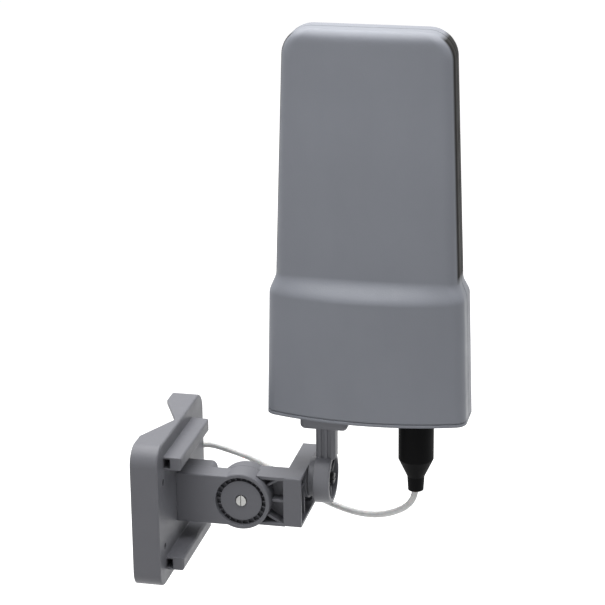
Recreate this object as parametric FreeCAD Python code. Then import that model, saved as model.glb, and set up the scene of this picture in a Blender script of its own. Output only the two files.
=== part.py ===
"""Outdoor TV antenna: flat antenna head on a stem, two clamped hinges and a wall plate.

Frame: X leads away from the wall, Y leads to the far side of the arm, Z is up.
The origin lies on the wall plate's back face, level with the inner arm's middle. Sizes are in millimetres.
"""
import FreeCAD, Part
import math
import os

Vec = FreeCAD.Vector
AXIS_X = Vec(1, 0, 0)
AXIS_Y = Vec(0, 1, 0)
AXIS_Z = Vec(0, 0, 1)

# Clearances
moving_gap = 0.4        # between faces of different bodies
hole_gap = 0.25         # radial, screw in a plain hole
thread_gap = 0.05       # radial, screw in a moulded pilot hole
pilot_extra = 0.5       # how much deeper a pilot hole is than its screw
bite = 1.0              # how far pieces of one moulding run into each other

# Wall plate
plate_depth = 21.0
plate_width = 130.0
plate_offset_y = 8.0     # the plate's middle behind the inner arm's
plate_height = 113.0
plate_corner_r = 14.0
plate_wall = 3.2
plate_front_wall = 4.0
plate_edge_r = 1.6
saddle_half_width = 37.0
saddle_floor = 4.0       # plate left in front of the notch
saddle_rib_z = 18.0
saddle_rib_thickness = 2.6
wall_hole_side = 15.0    # from the plate's near edge
wall_hole_end = 30.5     # from the plate's top or bottom edge
wall_hole_r = 2.75
wall_boss_r = 5.5

# Strap rails on the front of the wall plate
rail_length = 81.0
rail_depth = 13.5
rail_height = 10.0
rail_top_drop = 11.0     # from the plate's top edge to the rail's top
rail_edge_r = 1.8
strap_slot_depth = 5.0
strap_slot_wall = 1.3

# Inner arm with its round eye
arm_thickness = 17.0
arm_height = 40.0
arm_edge_r = 1.2
arm_screw_edge = 7.0     # from the arm's top or bottom edge
arm_screw_grip = 12.5
elbow_x = 71.0
eye_swell = 2.5          # how far the eye stands out above the arm
eye_groove_inset = 3.0
eye_groove_width = 3.4
eye_groove_depth = 7.5
eye_rib_count = 24
eye_rib_thickness = 0.9
eye_rib_drop = 4.2
eye_hub_drop = 2.4
gusset_length = 25.0
gusset_width = 18.5
gusset_top = 17.0
gusset_r = 6.0

# Outer arm with its end plate
outer_recess = 9.1       # from the eye's swing to the end plate
outer_web = 9.4
outer_near_y = -3.0
outer_wall = 2.6
end_thickness = 13.7
end_far_y = 68.0
end_floor = 4.2
end_rib_thickness = 2.2
end_rib_shares = (0.12, 0.3, 0.7, 0.88)
star_rib_thickness = 1.8
star_rib_drop = 2.0
tilt_hub_r = 16.5

# Screws of the two clamped hinges
hinge_screw_r = 2.5
hinge_head_r = 4.25
hinge_head_height = 4.0
hinge_head_drop = 1.2
hinge_head_edge_r = 0.8
hinge_slot_width = 1.0
hinge_slot_depth = 1.4
hinge_nut_flats = 8.0
hinge_nut_height = 4.0
hinge_washer_r = 6.5
hinge_washer_thickness = 1.2

# Stem with its round knuckle
tilt_z = 8.0
knuckle_r = 19.6
knuckle_spacer = 5.0     # hub that keeps the knuckle off the end plate
knuckle_spacer_r = 15.0
knuckle_depth = 12.4
knuckle_rim = 3.4
knuckle_pocket = 6.5
knuckle_hub_r = 8.0
knuckle_hub_height = 2.0
knuckle_rib_count = 6
knuckle_rib_turn = 30.0
knuckle_rib_thickness = 1.8
stem_offset_x = 7.3      # disc's inner face to the stem's axis
neck_length = 43.5       # tilt axis to the block's bottom
neck_width = 15.2
neck_thickness = 13.0
neck_edge_r = 2.5
neck_groove_width = 2.4
neck_groove_depth = 1.2
neck_groove_shares = (0.36, 0.68)
block_width = 36.5
block_thickness = 28.0
block_height = 12.5
block_edge_r = 4.0
block_wall = 3.2
stem_screw_spacing = 22.0
stem_boss_r = 4.2
stem_screw_grip = 9.0

# Antenna head
head_offset_x = 32.6     # stem axis to the head's middle
head_height = 294.3
skirt_height = 94.8
shoulder_height = 15.5
shoulder_steps = 6
skirt_half_bottom = 75.8
skirt_taper = 2.6        # on each side
shoulder_step = 4.4
body_taper = 6.2
skirt_front_reach = 29.0    # the next five are measured from the tilt axis
body_front_reach = 18.5
skirt_back_reach = 24.0
body_back_reach = 19.0
parting_reach = 1.5
body_lean = 2.5          # how far the upper front leans back towards the top
skirt_bow_r = 235.0
body_bow_r = 620.0
top_corner_r = 20.0      # seen from the front
top_edge_r = 8.2         # seen from the side
crown_steps = 8
front_corner_extra = 2.0    # upright corners over the top edge's radius
back_corner_extra = 1.0
cover_wall = 2.6
cap_thickness = 3.0
cap_rim_height = 6.0
cap_rim_wall = 2.2
seam_width = 0.8         # shadow gap between the cap and the covers
seam_depth = 0.7
fit_gap = 0.2

# Cover gasket and screws
gasket_inset = 0.9
gasket_width = 0.9
gasket_height = 1.4
small_screw_r = 1.5
small_head_r = 2.8
small_head_height = 2.0
cover_boss_r = 4.0
cover_screw_recess = 3.2
cover_screw_grip = 9.0
cover_screw_inset = 10.0            # from the head's side
cover_screw_lifts = (28.0, 84.0)    # above the head's bottom
cover_screw_drops = (80.0, 6.0)     # below the crown
cap_screw_side = 25.8               # from the skirt's side
cap_screw_back = 12.0               # from the skirt's back
cap_screw_grip = 9.0
cap_boss_floor = 2.0

# Board with the antenna element and the amplifier
board_width = 92.0
board_thickness = 1.6
board_lift = 17.0
board_head_room = 47.0   # from the board's top to the head's top
board_setback = 2.5      # behind the parting plane
board_post_r = 3.2
board_screw_inset = 6.0
board_screw_grip = 6.0
element_thickness = 0.4
element_side_margin = 4.0
element_feed_width = 16.0
element_gap = 6.0
element_clear = 6.0      # above the shield can
element_tip_clear = 28.0 # below the board's top
can_width = 58.0
can_height = 40.0
can_depth = 11.0
can_wall = 0.6
can_lift = 14.0

# Socket, boot and plug of the lead
lead_offset_x = 36.5     # from the head's middle
lead_offset_y = 1.7      # in front of the tilt axis
socket_thread_r = 4.7
socket_bore_r = 2.4
socket_hex_flats = 13.0
socket_hex_height = 5.0
socket_reach = 14.0
socket_washer_thickness = 0.8
socket_nut_flats = 13.0
socket_nut_height = 2.6
boot_length = 59.2
boot_wall = 5.0
boot_clear = 0.9         # round the socket's nut
collar_height = 2.6
collar_wall = 1.9
boot_tip_length = 11.1
boot_taper_length = 14.5
boot_grip = 6.6          # lead held below the plug's sleeve
boot_neck_r = 6.6
boot_tip_r = 5.9
boot_edge_r = 1.5
plug_flats = 11.0
plug_nut_height = 14.0
plug_sleeve_r = 3.4

# Coaxial lead: routes chosen by hand, straight runs joined by arcs
cable_r = 2.5
arc_share = 0.48
front_route = (
    (198.5, 30.8, 11.4), (198.5, 30.8, 1.0), (192.6, 33.9, -10.6), (180.7, 40.2, -20.0),
    (165.8, 48.7, -27.6), (148.6, 58.0, -31.6), (129.0, 68.5, -31.8), (107.0, 77.0, -26.8),
    (95.5, 78.25, -21.0))
rear_route = (
    (95.5, 78.25, -21.0), (84.0, 79.5, -15.2), (62.0, 79.6, -2.6), (40.0, 80.6, 3.8),
    (23.5, 81.4, 7.4), (14.6, 80.8, 5.4), (8.0, 78.8, 0.0), (4.6, 77.2, -7.6), (3.8, 76.6, -16.0))

# Put-away hank of the lead
hank_x = 3.3
hank_y = 101.5
hank_top_z = 20.0
hank_bottom_z = -80.0
hank_bend_r = 15.0
hank_rows = 3
hank_layers = 1
hank_tie_width = 4.8
hank_tie_thickness = 0.8
hank_tie_z = -49.0
lead_plug_top_z = -22.0
lead_plug_length = 22.0
lead_plug_collar = 11.0
lead_plug_r = 4.6
lead_plug_flats = 11.0

# Places worked out from the sizes above
saddle_depth = plate_depth - saddle_floor
wall_hole_y = plate_width / 2 - plate_offset_y - wall_hole_side
wall_hole_z = plate_height / 2 - wall_hole_end
arm_near_y = -arm_thickness / 2
arm_far_y = arm_thickness / 2
eye_far_y = arm_far_y + moving_gap
outer_far_y = eye_far_y + outer_web
eye_r = arm_height / 2 + eye_swell
eye_groove_r = eye_r - eye_groove_inset
end_inner_x = elbow_x + eye_r + moving_gap + outer_recess
end_x = end_inner_x + end_thickness
tilt_y = (outer_near_y + end_far_y) / 2
knuckle_x = end_x + moving_gap
disc_x = knuckle_x + knuckle_spacer
knuckle_end_x = disc_x + knuckle_depth
stem_x = disc_x + stem_offset_x
neck_x = stem_x - neck_width / 2
block_bottom_z = tilt_z + neck_length
head_bottom_z = block_bottom_z + block_height
head_x = stem_x + head_offset_x
skirt_front_y = tilt_y - skirt_front_reach
body_front_y = tilt_y - body_front_reach
skirt_back_y = tilt_y + skirt_back_reach
body_back_y = tilt_y + body_back_reach
parting_y = tilt_y + parting_reach
skirt_half_top = skirt_half_bottom - skirt_taper
body_half_bottom = skirt_half_top - shoulder_step
body_half_top = body_half_bottom - body_taper
front_corner_r = top_edge_r + front_corner_extra
back_corner_r = top_edge_r + back_corner_extra
cap_top_z = head_bottom_z + cap_thickness
head_top_z = head_bottom_z + head_height
skirt_top_z = head_bottom_z + skirt_height
shoulder_top_z = skirt_top_z + shoulder_height
screw_shank_r = small_screw_r - thread_gap
board_front_y = parting_y + board_setback
board_low_z = head_bottom_z + board_lift
board_height = head_height - board_lift - board_head_room
can_top_z = board_low_z + can_lift + can_height
element_low_z = can_top_z + element_clear
element_high_z = board_low_z + board_height - element_tip_clear
lead_x = head_x + lead_offset_x
lead_y = tilt_y - lead_offset_y
socket_nut_r = socket_nut_flats / math.sqrt(3)
boot_bore_r = socket_nut_r + boot_clear
boot_r = boot_bore_r + boot_wall
boot_end_z = head_bottom_z - boot_length
boot_taper_low = boot_end_z + boot_tip_length
boot_taper_top = boot_taper_low + boot_taper_length
plug_sleeve_end_z = boot_end_z + boot_grip
cable_d = 2 * cable_r


def box(x0, x1, y0, y1, z0, z1):
    """Box between two corners."""
    return Part.makeBox(x1 - x0, y1 - y0, z1 - z0, Vec(x0, y0, z0))


def rod(radius, start, axis, length):
    """Cylinder from a start point along an axis."""
    return Part.makeCylinder(radius, length, start, axis)


def hexagon(flats, start, axis, length):
    """Hexagonal prism from a start point along an axis."""
    corner = flats / math.sqrt(3)
    side = axis.cross(AXIS_Z)
    if side.Length < 0.5:
        side = AXIS_X
    other = axis.cross(side)
    points = []
    for step in range(7):
        angle = math.radians(60 * step)
        points.append(start + side * (corner * math.cos(angle)) + other * (corner * math.sin(angle)))
    face = Part.Face(Part.makePolygon(points))
    return face.extrude(axis * length)


def fuse_all(shapes):
    """One solid from touching shapes."""
    return shapes[0].multiFuse(shapes[1:]).removeSplitter()


def cut_all(shape, tools):
    """Shape with every tool cut away."""
    return shape.cut(Part.makeCompound(tools))


def fillet_where(shape, radius, chosen):
    """Round the edges whose box meets a test."""
    edges = [edge for edge in shape.Edges if chosen(edge.BoundBox)]
    return shape.makeFillet(radius, edges)


def near(value, target):
    """True where two lengths agree."""
    return abs(value - target) < 1e-3


def revolve_profile(points, centre):
    """Solid turned about a vertical axis from (radius, height) points."""
    corners = [centre + Vec(radius, 0, height) for radius, height in points]
    corners.append(corners[0])
    face = Part.Face(Part.makePolygon(corners))
    return face.revolve(centre, AXIS_Z, 360)


def save(name, shape):
    """Write one node."""
    shape.exportStep(os.path.join("parts", name + ".step"))


# Wall plate

def rounded_block(x0, x1, half_y, half_z, radius):
    """Block behind the wall plate's outline, with its four edges along X rounded."""
    block = box(x0, x1, plate_offset_y - half_y, plate_offset_y + half_y, -half_z, half_z)
    return fillet_where(block, radius, lambda b: b.YLength < 1e-3 and b.ZLength < 1e-3)


def strap_rail(top_z):
    """One strap rail with the tunnel that a mast strap passes through."""
    half = rail_length / 2
    rail = box(plate_depth, plate_depth + rail_depth, -half, half, top_z - rail_height, top_z)
    rail = fillet_where(rail, rail_edge_r, lambda b: near(b.XMin, plate_depth + rail_depth))
    tunnel = box(plate_depth, plate_depth + strap_slot_depth, -half, half,
                 top_z - rail_height + strap_slot_wall, top_z - strap_slot_wall)
    return rail.cut(tunnel)


def arm_screw_places():
    """Where the screws from the plate's hollow reach into the inner arm's root."""
    high = arm_height / 2 - arm_screw_edge
    side = arm_far_y + gusset_width / 2
    return [(0.0, high), (0.0, -high), (side, gusset_top / 2), (side, -gusset_top / 2)]


def make_wall_plate():
    """Hollow plate with a notch for a mast, screw bosses and two strap rails."""
    half_y = plate_width / 2
    half_z = plate_height / 2
    plate = rounded_block(0, plate_depth, half_y, half_z, plate_corner_r)
    plate = fillet_where(plate, plate_edge_r, lambda b: near(b.XMin, plate_depth))
    hollow_end = plate_depth - plate_front_wall
    hollow = rounded_block(0, hollow_end, half_y - plate_wall, half_z - plate_wall,
                           plate_corner_r - plate_wall)
    pieces = [plate.cut(hollow)]
    for side in (-1, 1):
        middle = side * saddle_rib_z
        reach = half_y - plate_wall / 2
        pieces.append(box(0, hollow_end, plate_offset_y - reach, plate_offset_y + reach,
                          middle - saddle_rib_thickness / 2, middle + saddle_rib_thickness / 2))
        for other in (-1, 1):
            start = Vec(0, other * wall_hole_y, side * wall_hole_z)
            pieces.append(rod(wall_boss_r, start, AXIS_X, hollow_end))
    rail_top = half_z - rail_top_drop
    pieces.append(strap_rail(rail_top))
    pieces.append(strap_rail(rail_height - rail_top))
    plate = fuse_all(pieces)
    lip = Vec(0, plate_offset_y - saddle_half_width, -half_z)
    mouth = [lip, Vec(saddle_depth, plate_offset_y, -half_z),
             Vec(0, plate_offset_y + saddle_half_width, -half_z), lip]
    tools = [Part.Face(Part.makePolygon(mouth)).extrude(AXIS_Z * plate_height)]
    for side in (-1, 1):
        for other in (-1, 1):
            start = Vec(0, other * wall_hole_y, side * wall_hole_z)
            tools.append(rod(wall_hole_r, start, AXIS_X, plate_depth))
    for y, z in arm_screw_places():
        tools.append(rod(small_screw_r + hole_gap, Vec(0, y, z), AXIS_X, plate_depth))
    return cut_all(plate, tools)


# Inner arm

def eye_grooves():
    """Ring groove in the eye's near face, with small ribs left standing across it."""
    start = Vec(elbow_x, arm_near_y, 0)
    ring = rod(eye_groove_r, start, AXIS_Y, eye_groove_depth)
    ring = ring.cut(rod(eye_groove_r - eye_groove_width, start, AXIS_Y, eye_groove_depth))
    ribs = []
    for step in range(eye_rib_count):
        rib = box(elbow_x, elbow_x + eye_groove_r + bite, arm_near_y + eye_rib_drop,
                  arm_near_y + eye_groove_depth, -eye_rib_thickness / 2, eye_rib_thickness / 2)
        rib.rotate(start, AXIS_Y, 360.0 * step / eye_rib_count)
        ribs.append(rib)
    hub_face = rod(eye_groove_r - eye_groove_width, start, AXIS_Y, eye_hub_drop)
    return [cut_all(ring, ribs), hub_face]


def make_inner_arm():
    """Arm that stands on the wall plate and ends in the elbow's near eye."""
    half = arm_height / 2
    body = box(plate_depth, elbow_x, arm_near_y, arm_far_y, -half, half)
    body = fillet_where(body, arm_edge_r, lambda b: near(b.XLength, elbow_x - plate_depth))
    eye = rod(eye_r, Vec(elbow_x, arm_near_y, 0), AXIS_Y, arm_thickness)
    eye = fillet_where(eye, arm_edge_r, lambda b: near(b.YMax, arm_near_y))
    gusset = box(plate_depth, plate_depth + gusset_length, arm_far_y - bite, arm_far_y + gusset_width,
                 -gusset_top, gusset_top)
    gusset = fillet_where(gusset, gusset_r, lambda b: near(b.XMin, plate_depth + gusset_length)
                          and not near(b.YMax, arm_far_y - bite))
    arm = fuse_all([body, eye, gusset])
    tools = eye_grooves()
    centre = Vec(elbow_x, arm_near_y, 0)
    tools.append(rod(hinge_head_r + hole_gap, centre, AXIS_Y, hinge_head_drop + hinge_head_height))
    tools.append(rod(hinge_screw_r + hole_gap, centre, AXIS_Y, arm_thickness))
    for y, z in arm_screw_places():
        tools.append(rod(small_screw_r, Vec(plate_depth, y, z), AXIS_X, arm_screw_grip + pilot_extra))
    return cut_all(arm, tools)


def small_screw(start, axis, grip):
    """Pan-head screw: start is the seat of its head, axis points along the shank."""
    head = rod(small_head_r, start - axis * small_head_height, axis, small_head_height)
    shank = rod(screw_shank_r, start, axis, grip)
    return head.fuse(shank)


def make_arm_screws():
    """Screws from the plate's hollow into the inner arm."""
    seat = plate_depth - plate_front_wall
    grip = plate_front_wall + arm_screw_grip
    return Part.makeCompound([small_screw(Vec(seat, y, z), AXIS_X, grip) for y, z in arm_screw_places()])


# Outer arm

def star_ribs():
    """Ribs in the recess between the eye and the end plate."""
    high = arm_height / 2
    near_y = outer_near_y + star_rib_drop
    length = math.hypot(end_inner_x - elbow_x, high)
    lean = math.atan2(high, end_inner_x - elbow_x)
    ribs = []
    for angle in (-lean, 0.0, lean):
        rib = box(elbow_x, elbow_x + length, near_y, eye_far_y + bite,
                  -star_rib_thickness / 2, star_rib_thickness / 2)
        rib.rotate(Vec(elbow_x, 0, 0), AXIS_Y, math.degrees(angle))
        ribs.append(rib.common(box(elbow_x, end_inner_x + bite, near_y, eye_far_y + bite, -high, high)))
    return ribs


def end_plate():
    """Hollow plate across the end of the outer arm, with ribs and the tilt hub."""
    half = arm_height / 2
    block = box(end_inner_x, end_x, outer_near_y, end_far_y, -half, half)
    block = fillet_where(block, arm_edge_r, lambda b: near(b.XLength, end_thickness))
    pocket = box(end_inner_x + end_floor, end_x, outer_near_y + outer_wall, end_far_y - outer_wall,
                 outer_wall - half, half - outer_wall)
    shell = block.cut(pocket)
    floor_x = end_inner_x + end_floor - bite
    ribs = []
    for share in end_rib_shares:
        middle = outer_near_y + share * (end_far_y - outer_near_y)
        ribs.append(box(floor_x, end_x - star_rib_drop, middle - end_rib_thickness / 2,
                        middle + end_rib_thickness / 2, bite - half, half - bite))
    ribs.append(box(floor_x, end_x - star_rib_drop, outer_near_y + bite, end_far_y - bite,
                    tilt_z - end_rib_thickness / 2, tilt_z + end_rib_thickness / 2))
    hub = rod(tilt_hub_r, Vec(floor_x, tilt_y, tilt_z), AXIS_X, end_x - floor_x)
    hub = hub.common(box(floor_x, end_x, outer_near_y, end_far_y, -half, half))
    return fuse_all([shell, hub] + ribs)


def make_outer_arm():
    """Arm from the elbow's far eye to the end plate that carries the head."""
    half = arm_height / 2
    eye = rod(eye_r, Vec(elbow_x, eye_far_y, 0), AXIS_Y, outer_web)
    web = box(elbow_x, end_inner_x + bite, eye_far_y, outer_far_y, -half, half)
    web = fillet_where(web, arm_edge_r, lambda b: near(b.YMin, outer_far_y) and b.XLength > outer_recess)
    flanges = []
    for side in (-1, 1):
        edge = side * half
        inner = side * (half - outer_wall)
        flanges.append(box(elbow_x, end_inner_x + bite, outer_near_y, eye_far_y + bite,
                           min(edge, inner), max(edge, inner)))
    arm = fuse_all([eye, web, end_plate()] + flanges + star_ribs())
    swing = rod(eye_r + moving_gap, Vec(elbow_x, outer_near_y, 0), AXIS_Y, eye_far_y - outer_near_y)
    elbow = Vec(elbow_x, eye_far_y, 0)
    nut_seat = outer_far_y - hinge_nut_height - hinge_washer_thickness
    tools = [swing,
             rod(hinge_screw_r + hole_gap, elbow, AXIS_Y, outer_web),
             rod(hinge_washer_r + hole_gap, Vec(elbow_x, nut_seat, 0), AXIS_Y, outer_far_y - nut_seat)]
    tilt = Vec(end_inner_x, tilt_y, tilt_z)
    tools.append(rod(hinge_screw_r + hole_gap, tilt, AXIS_X, end_thickness))
    tools.append(hexagon(hinge_nut_flats + 2 * hole_gap, tilt, AXIS_X, hinge_nut_height))
    return cut_all(arm, tools)


def hinge_screw(seat, axis, grip):
    """Cheese-head hinge screw with a driver slot."""
    head = rod(hinge_head_r, seat - axis * hinge_head_height, axis, hinge_head_height)
    edge_at = seat - axis * hinge_head_height
    head = fillet_where(head, hinge_head_edge_r, lambda b: near((b.Center - edge_at).Length, 0))
    slot = box(-hinge_slot_width / 2, hinge_slot_width / 2, -hinge_head_r, hinge_head_r, 0, hinge_slot_depth)
    slot.Placement = FreeCAD.Placement(edge_at, FreeCAD.Rotation(AXIS_Z, axis))
    return head.fuse(rod(hinge_screw_r, seat, axis, grip)).cut(slot)


def ring(outer_r, inner_r, start, axis, length):
    """Flat ring."""
    return rod(outer_r, start, axis, length).cut(rod(inner_r, start, axis, length))


def make_elbow_screw():
    """Screw through both eyes, its head sunk in the near face."""
    seat = Vec(elbow_x, arm_near_y + hinge_head_drop + hinge_head_height, 0)
    return hinge_screw(seat, AXIS_Y, outer_far_y - seat.y)


def make_elbow_washer():
    """Washer under the elbow's nut, in the outer arm's far face."""
    start = outer_far_y - hinge_nut_height - hinge_washer_thickness
    return ring(hinge_washer_r, hinge_screw_r + thread_gap, Vec(elbow_x, start, 0), AXIS_Y,
                hinge_washer_thickness)


def nut(flats, start, axis, height, bore):
    """Hexagon nut."""
    return hexagon(flats, start, axis, height).cut(rod(bore, start, axis, height))


def make_elbow_nut():
    """Nut on the far end of the elbow screw."""
    start = Vec(elbow_x, outer_far_y - hinge_nut_height, 0)
    return nut(hinge_nut_flats, start, AXIS_Y, hinge_nut_height, hinge_screw_r + thread_gap)


def tilt_seat_x():
    """Seat of the tilt screw's washer inside the knuckle."""
    return knuckle_end_x - knuckle_pocket + knuckle_hub_height


def make_tilt_screw():
    """Screw through the knuckle into the end plate's nut."""
    seat = Vec(tilt_seat_x() + hinge_washer_thickness, tilt_y, tilt_z)
    return hinge_screw(seat, AXIS_X * -1, seat.x - end_inner_x)


def make_tilt_washer():
    """Washer under the tilt screw's head."""
    return ring(hinge_washer_r, hinge_screw_r + thread_gap, Vec(tilt_seat_x(), tilt_y, tilt_z), AXIS_X,
                hinge_washer_thickness)


def make_tilt_nut():
    """Nut held in the end plate's hexagon pocket."""
    start = Vec(end_inner_x, tilt_y, tilt_z)
    return nut(hinge_nut_flats, start, AXIS_X, hinge_nut_height, hinge_screw_r + thread_gap)


# Stem

def knuckle():
    """Round clamp disc, open and ribbed on its outer face."""
    start = Vec(knuckle_x, tilt_y, tilt_z)
    disc = rod(knuckle_r, Vec(disc_x, tilt_y, tilt_z), AXIS_X, knuckle_depth)
    disc = fillet_where(disc, arm_edge_r, lambda b: near(b.XMin, knuckle_end_x))
    floor_x = knuckle_end_x - knuckle_pocket
    floor = Vec(floor_x, tilt_y, tilt_z)
    disc = disc.cut(rod(knuckle_r - knuckle_rim, floor, AXIS_X, knuckle_pocket))
    pieces = [disc, rod(knuckle_spacer_r, start, AXIS_X, knuckle_spacer + bite),
              rod(knuckle_hub_r, floor, AXIS_X, knuckle_hub_height)]
    for step in range(knuckle_rib_count):
        rib = box(floor_x - bite, knuckle_end_x - star_rib_drop, tilt_y + knuckle_hub_r - bite,
                  tilt_y + knuckle_r - knuckle_rim + bite,
                  tilt_z - knuckle_rib_thickness / 2, tilt_z + knuckle_rib_thickness / 2)
        rib.rotate(floor, AXIS_X, knuckle_rib_turn + 360.0 * step / knuckle_rib_count)
        pieces.append(rib)
    return fuse_all(pieces)


def neck():
    """Square neck between the knuckle and the block, grooved on its front and back."""
    half = neck_thickness / 2
    top = block_bottom_z + block_edge_r
    post = box(neck_x, neck_x + neck_width, tilt_y - half, tilt_y + half, tilt_z, top)
    post = fillet_where(post, neck_edge_r, lambda b: near(b.ZLength, top - tilt_z))
    grooves = []
    for share in neck_groove_shares:
        x = neck_x + share * neck_width
        for y in (tilt_y - half, tilt_y + half - neck_groove_depth):
            grooves.append(box(x - neck_groove_width / 2, x + neck_groove_width / 2, y,
                               y + neck_groove_depth, tilt_z, block_bottom_z))
    post = cut_all(post, grooves)
    clear = rod(knuckle_r - bite, Vec(neck_x, tilt_y, tilt_z), AXIS_X, neck_width)
    return post.cut(clear)


def stem_screw_places():
    """Where the screws hold the stem's block under the bottom cap."""
    half = stem_screw_spacing / 2
    return [(stem_x - half, tilt_y), (stem_x + half, tilt_y)]


def block():
    """Hollow block at the stem's top, rounded below."""
    x0 = stem_x - block_width / 2
    y0 = tilt_y - block_thickness / 2
    x1 = x0 + block_width
    y1 = y0 + block_thickness
    solid = box(x0, x1, y0, y1, block_bottom_z, head_bottom_z)
    solid = fillet_where(solid, block_edge_r,
                         lambda b: near(b.ZLength, block_height) or near(b.ZMax, block_bottom_z))
    pocket = box(x0 + block_wall, x1 - block_wall, y0 + block_wall, y1 - block_wall,
                 block_bottom_z + block_edge_r + bite, head_bottom_z)
    shell = solid.cut(pocket)
    pieces = [shell, box(stem_x - block_wall / 2, stem_x + block_wall / 2, y0 + bite, y1 - bite,
                         block_bottom_z + bite, head_bottom_z)]
    for x, y in stem_screw_places():
        pieces.append(rod(stem_boss_r, Vec(x, y, block_bottom_z + bite), AXIS_Z, block_height - bite))
    return fuse_all(pieces)


def make_stem():
    """Knuckle, neck and block, moulded as one."""
    stem = fuse_all([knuckle(), neck(), block()])
    tools = [rod(hinge_screw_r + hole_gap, Vec(knuckle_x, tilt_y, tilt_z), AXIS_X,
                 knuckle_spacer + knuckle_depth)]
    for x, y in stem_screw_places():
        depth = stem_screw_grip + pilot_extra
        tools.append(rod(small_screw_r, Vec(x, y, head_bottom_z - depth), AXIS_Z, depth))
    return cut_all(stem, tools)


def make_stem_screws():
    """Screws from inside the head down into the stem's block."""
    grip = cap_thickness + stem_screw_grip
    down = AXIS_Z * -1
    return Part.makeCompound([small_screw(Vec(x, y, cap_top_z), down, grip) for x, y in stem_screw_places()])


# Antenna head

def head_section(z, half, front_y, bow_r, back_y, front_r, back_r):
    """Closed outline across the head: bowed front, rounded corners, flat sides and back."""
    bow_y = front_y + bow_r
    corner_x = half - front_r
    corner_y = bow_y - math.sqrt((bow_r - front_r) ** 2 - corner_x ** 2)
    reach = bow_r / (bow_r - front_r)
    touch_x = corner_x * reach
    touch_y = bow_y + (corner_y - bow_y) * reach
    turn = math.atan2(bow_y - corner_y, corner_x)
    mid_x = corner_x + front_r * math.cos(turn / 2)
    mid_y = corner_y - front_r * math.sin(turn / 2)
    diagonal = math.sqrt(0.5) * back_r

    def at(x, y):
        return Vec(head_x + x, y, z)

    edges = [
        Part.Arc(at(-touch_x, touch_y), at(0, front_y), at(touch_x, touch_y)),
        Part.Arc(at(touch_x, touch_y), at(mid_x, mid_y), at(half, corner_y)),
        Part.LineSegment(at(half, corner_y), at(half, back_y - back_r)),
        Part.Arc(at(half, back_y - back_r), at(half - back_r + diagonal, back_y - back_r + diagonal),
                 at(half - back_r, back_y)),
        Part.LineSegment(at(half - back_r, back_y), at(back_r - half, back_y)),
        Part.Arc(at(back_r - half, back_y), at(back_r - half - diagonal, back_y - back_r + diagonal),
                 at(-half, back_y - back_r)),
        Part.LineSegment(at(-half, back_y - back_r), at(-half, corner_y)),
        Part.Arc(at(-half, corner_y), at(-mid_x, mid_y), at(-touch_x, touch_y)),
    ]
    return Part.Wire([edge.toShape() for edge in edges])


def head_solid(inset):
    """The head's outer form, drawn in by an inset on every side but its open bottom."""
    front_r = front_corner_r - inset
    back_r = back_corner_r - inset
    edge_r = top_edge_r - inset

    def section(z, half, front_y, bow_r, back_y):
        return head_section(z, half - inset, front_y + inset, bow_r - inset, back_y - inset, front_r, back_r)

    skirt_low = section(head_bottom_z, skirt_half_bottom, skirt_front_y, skirt_bow_r, skirt_back_y)
    slope = []
    for step in range(shoulder_steps + 1):
        share = step / shoulder_steps
        ease = share * share * (3 - 2 * share)
        slope.append(section(skirt_top_z + share * shoulder_height,
                             skirt_half_top + ease * (body_half_bottom - skirt_half_top),
                             skirt_front_y + ease * (body_front_y - skirt_front_y),
                             1 / ((1 - ease) / skirt_bow_r + ease / body_bow_r),
                             skirt_back_y + ease * (body_back_y - skirt_back_y)))
    crown_low_z = head_top_z - top_corner_r
    crown = []
    for step in range(crown_steps + 1):
        turn = math.radians(90.0 * step / crown_steps)
        z = crown_low_z + (top_corner_r - inset) * math.sin(turn)
        rise = max(z - head_top_z + top_edge_r, 0.0)
        draw = edge_r - math.sqrt(max(edge_r ** 2 - rise ** 2, 0.0))
        half = half_width(z) - (top_corner_r - inset) * (1 - math.cos(turn))
        crown.append(head_section(z, half - inset, body_front(z) + inset + draw, body_bow_r - inset,
                                  body_back_y - inset - draw, front_r - draw, back_r - draw))
    skirt = Part.makeLoft([skirt_low, slope[0]], True, True)
    shoulder = Part.makeLoft(slope, True, False)
    body = Part.makeLoft([slope[-1], crown[0]], True, True)
    top = Part.makeLoft(crown, True, False)
    return skirt.multiFuse([shoulder, body, top])


def body_front(z):
    """Front of the upper head at a height, which leans back towards the top."""
    return body_front_y + body_lean * (z - shoulder_top_z) / (head_top_z - shoulder_top_z)


def behind(y):
    """Everything behind a plane across the head."""
    return box(head_x - 2 * skirt_half_bottom, head_x + 2 * skirt_half_bottom, y, y + 2 * skirt_back_y,
               head_bottom_z - bite, head_top_z + bite)


def above(z):
    """Everything above a height."""
    return box(head_x - 2 * skirt_half_bottom, head_x + 2 * skirt_half_bottom, -skirt_back_y,
               2 * skirt_back_y, z, head_top_z + bite)


def cover_screw_points():
    """Cover screws, left and right, as (x, z)."""
    heights = [head_bottom_z + lift for lift in cover_screw_lifts]
    heights += [head_top_z - top_corner_r - drop for drop in cover_screw_drops]
    points = []
    for z in heights:
        across = half_width(z) - cover_screw_inset
        points += [(head_x - across, z), (head_x + across, z)]
    return points


def half_width(z):
    """Half of the head's width at a height."""
    levels = ((head_bottom_z, skirt_half_bottom), (skirt_top_z, skirt_half_top),
              (shoulder_top_z, body_half_bottom), (head_top_z, body_half_top))
    for (low, low_half), (high, high_half) in zip(levels, levels[1:]):
        if z <= high:
            break
    return low_half + (z - low) / (high - low) * (high_half - low_half)


def cap_screw_points():
    """Screws from below through the bottom cap into the rear cover."""
    across = skirt_half_bottom - cap_screw_side
    y = skirt_back_y - cap_screw_back
    return [(head_x - across, y), (head_x + across, y)]


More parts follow.
